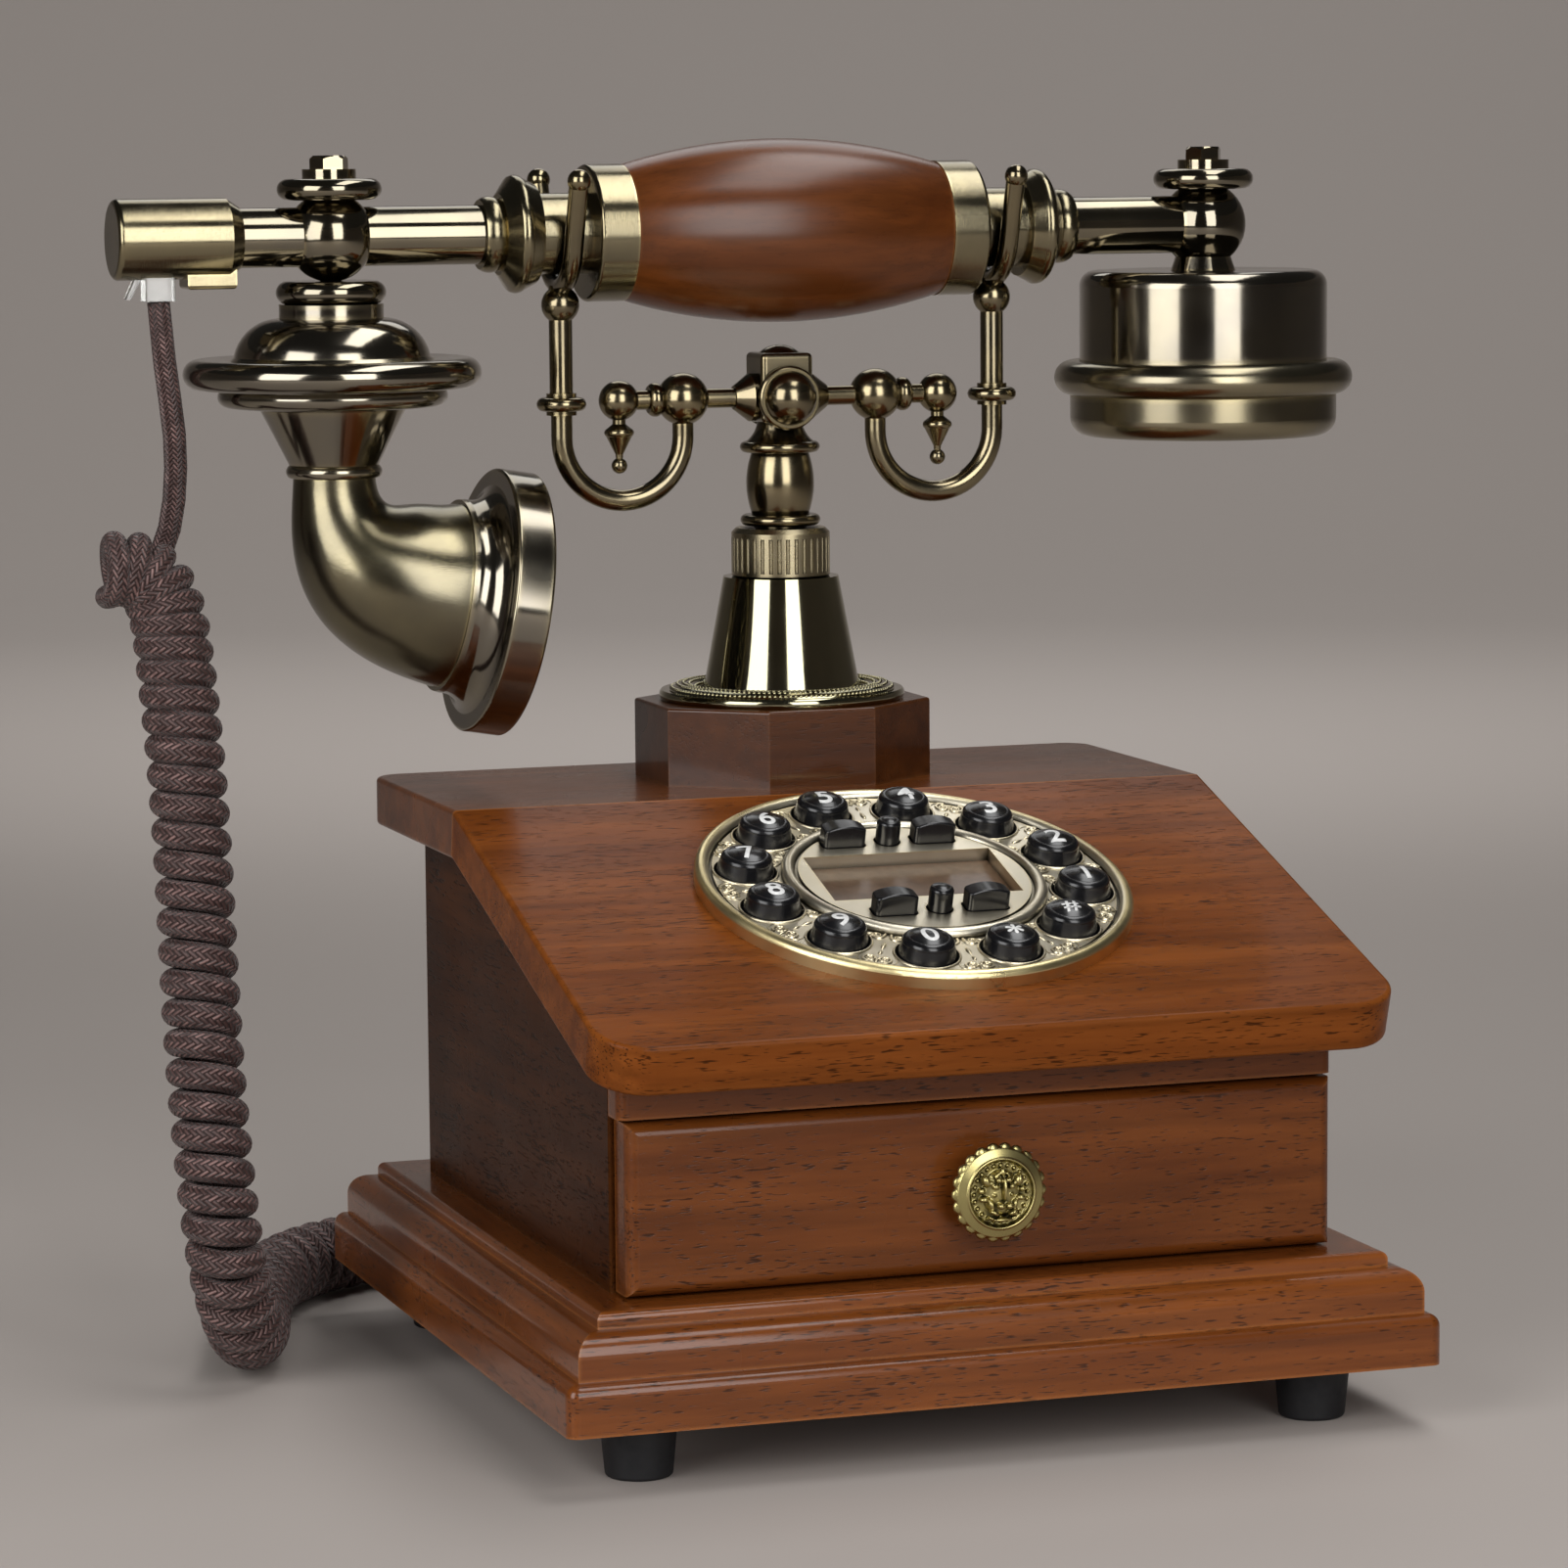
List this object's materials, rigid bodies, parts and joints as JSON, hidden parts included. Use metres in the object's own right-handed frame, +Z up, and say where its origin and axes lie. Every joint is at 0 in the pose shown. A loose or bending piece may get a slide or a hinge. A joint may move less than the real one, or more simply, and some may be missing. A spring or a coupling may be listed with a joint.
{
  "type": "cradle telephone",
  "caption": "Desk telephone with a wooden case and drawer, a ring of push buttons, and a brass horn handset resting across a two-armed cradle.",
  "frame": {"origin": "on the floor under the middle of the part's box, its cord left out", "axes": "X to the right along the front, Y to the back, Z up; the dial and drawer face -Y"},
  "size_m": [0.3419, 0.2687, 0.3105],
  "materials": {
    "mahogany": "red-brown stain under satin lacquer",
    "drawer_wood": "plain sanded wood",
    "dark_bronze": "polished dark antique bronze",
    "antique_brass": "brushed antique brass",
    "bright_brass": "polished pale brass with dark recesses",
    "steel": "plain",
    "key_black": "gloss",
    "display_glass": "smoked display glass",
    "board_green": "matt",
    "jack_black": "matt",
    "capsule_grille": "matt",
    "foot_rubber": "matt",
    "cord_braid": "woven braid with light flecks",
    "plug_clear": "clear plastic"
  },
  "bodies": {
    "base": {"base_board": "mahogany", "base_moulding": "mahogany", "rubber_feet": "foot_rubber", "side_panels": "mahogany", "back_panel": "mahogany", "divider_shelf": "mahogany", "top_board": "mahogany", "slope_board": "mahogany", "post_plinth": "mahogany", "post_cone": "bright_brass", "fluted_collar": "dark_bronze", "dial_plate": "bright_brass", "display": "display_glass", "circuit_board": "board_green", "rear_jacks": "jack_black", "hook_switch": "steel", "base_plug": "plug_clear", "handset_cord": "cord_braid"},
    "drawer": {"drawer_front": "mahogany", "drawer_tray": "drawer_wood", "drawer_knob": "bright_brass"},
    "cradle": {"cradle_column": "dark_bronze", "cradle_arms": "dark_bronze", "cap_nuts": "dark_bronze", "hook_left": "dark_bronze", "hook_right": "dark_bronze", "hook_spring": "steel"},
    "handset": {"handset_grip": "mahogany", "ferrules": "antique_brass", "neck_collars": "dark_bronze", "handset_tube": "dark_bronze", "ball_joints": "dark_bronze", "finial_nuts": "dark_bronze", "cord_end_cap": "antique_brass", "mouthpiece_canopy": "antique_brass", "mouthpiece_cup": "antique_brass", "mouthpiece_elbow": "antique_brass", "mouthpiece_bell": "antique_brass", "receiver_shell": "antique_brass", "receiver_cap": "antique_brass", "handset_capsules": "capsule_grille", "handset_plug": "plug_clear"},
    "button_0": {"key_0": "key_black"},
    "button_1": {"key_1": "key_black"},
    "button_2": {"key_2": "key_black"},
    "button_3": {"key_3": "key_black"},
    "button_4": {"key_4": "key_black"},
    "button_5": {"key_5": "key_black"},
    "button_6": {"key_6": "key_black"},
    "button_7": {"key_7": "key_black"},
    "button_8": {"key_8": "key_black"},
    "button_9": {"key_9": "key_black"},
    "button_star": {"key_star": "key_black"},
    "button_hash": {"key_hash": "key_black"},
    "button_upper_left": {"key_upper_left": "key_black"},
    "button_upper_middle": {"key_upper_middle": "key_black"},
    "button_upper_right": {"key_upper_right": "key_black"},
    "button_lower_left": {"key_lower_left": "key_black"},
    "button_lower_middle": {"key_lower_middle": "key_black"},
    "button_lower_right": {"key_lower_right": "key_black"}
  },
  "joints": [
    {"name": "handset_lift", "type": "slide", "parent": "base", "child": "handset", "axis": [0, 0, 1], "range_m": [0, 0.12], "deforming": ["handset_cord"]},
    {"name": "cradle_lift", "type": "slide", "parent": "base", "child": "cradle", "axis": [0, 0, 1], "range_m": [0, 0.005], "deforming": ["hook_spring"]},
    {"name": "drawer_slide", "type": "slide", "parent": "base", "child": "drawer", "axis": [0, -1, 0], "range_m": [0, 0.1]},
    {"name": "press_0", "type": "slide", "parent": "base", "child": "button_0", "axis": [0, 0.3007, -0.9537], "range_m": [0, 0.0015], "stiffness_N_per_m": 150, "springref_m": -0.001},
    {"name": "press_1", "type": "slide", "parent": "base", "child": "button_1", "axis": [0, 0.3007, -0.9537], "range_m": [0, 0.0015], "stiffness_N_per_m": 150, "springref_m": -0.001},
    {"name": "press_2", "type": "slide", "parent": "base", "child": "button_2", "axis": [0, 0.3007, -0.9537], "range_m": [0, 0.0015], "stiffness_N_per_m": 150, "springref_m": -0.001},
    {"name": "press_3", "type": "slide", "parent": "base", "child": "button_3", "axis": [0, 0.3007, -0.9537], "range_m": [0, 0.0015], "stiffness_N_per_m": 150, "springref_m": -0.001},
    {"name": "press_4", "type": "slide", "parent": "base", "child": "button_4", "axis": [0, 0.3007, -0.9537], "range_m": [0, 0.0015], "stiffness_N_per_m": 150, "springref_m": -0.001},
    {"name": "press_5", "type": "slide", "parent": "base", "child": "button_5", "axis": [0, 0.3007, -0.9537], "range_m": [0, 0.0015], "stiffness_N_per_m": 150, "springref_m": -0.001},
    {"name": "press_6", "type": "slide", "parent": "base", "child": "button_6", "axis": [0, 0.3007, -0.9537], "range_m": [0, 0.0015], "stiffness_N_per_m": 150, "springref_m": -0.001},
    {"name": "press_7", "type": "slide", "parent": "base", "child": "button_7", "axis": [0, 0.3007, -0.9537], "range_m": [0, 0.0015], "stiffness_N_per_m": 150, "springref_m": -0.001},
    {"name": "press_8", "type": "slide", "parent": "base", "child": "button_8", "axis": [0, 0.3007, -0.9537], "range_m": [0, 0.0015], "stiffness_N_per_m": 150, "springref_m": -0.001},
    {"name": "press_9", "type": "slide", "parent": "base", "child": "button_9", "axis": [0, 0.3007, -0.9537], "range_m": [0, 0.0015], "stiffness_N_per_m": 150, "springref_m": -0.001},
    {"name": "press_star", "type": "slide", "parent": "base", "child": "button_star", "axis": [0, 0.3007, -0.9537], "range_m": [0, 0.0015], "stiffness_N_per_m": 150, "springref_m": -0.001},
    {"name": "press_hash", "type": "slide", "parent": "base", "child": "button_hash", "axis": [0, 0.3007, -0.9537], "range_m": [0, 0.0015], "stiffness_N_per_m": 150, "springref_m": -0.001},
    {"name": "press_upper_left", "type": "slide", "parent": "base", "child": "button_upper_left", "axis": [0, 0.3007, -0.9537], "range_m": [0, 0.0015], "stiffness_N_per_m": 150, "springref_m": -0.001},
    {"name": "press_upper_middle", "type": "slide", "parent": "base", "child": "button_upper_middle", "axis": [0, 0.3007, -0.9537], "range_m": [0, 0.0015], "stiffness_N_per_m": 150, "springref_m": -0.001},
    {"name": "press_upper_right", "type": "slide", "parent": "base", "child": "button_upper_right", "axis": [0, 0.3007, -0.9537], "range_m": [0, 0.0015], "stiffness_N_per_m": 150, "springref_m": -0.001},
    {"name": "press_lower_left", "type": "slide", "parent": "base", "child": "button_lower_left", "axis": [0, 0.3007, -0.9537], "range_m": [0, 0.0015], "stiffness_N_per_m": 150, "springref_m": -0.001},
    {"name": "press_lower_middle", "type": "slide", "parent": "base", "child": "button_lower_middle", "axis": [0, 0.3007, -0.9537], "range_m": [0, 0.0015], "stiffness_N_per_m": 150, "springref_m": -0.001},
    {"name": "press_lower_right", "type": "slide", "parent": "base", "child": "button_lower_right", "axis": [0, 0.3007, -0.9537], "range_m": [0, 0.0015], "stiffness_N_per_m": 150, "springref_m": -0.001}
  ],
  "couplings": [
    {"joint": "cradle_lift", "follows": "handset_lift", "ratio": 0.041666}
  ]
}
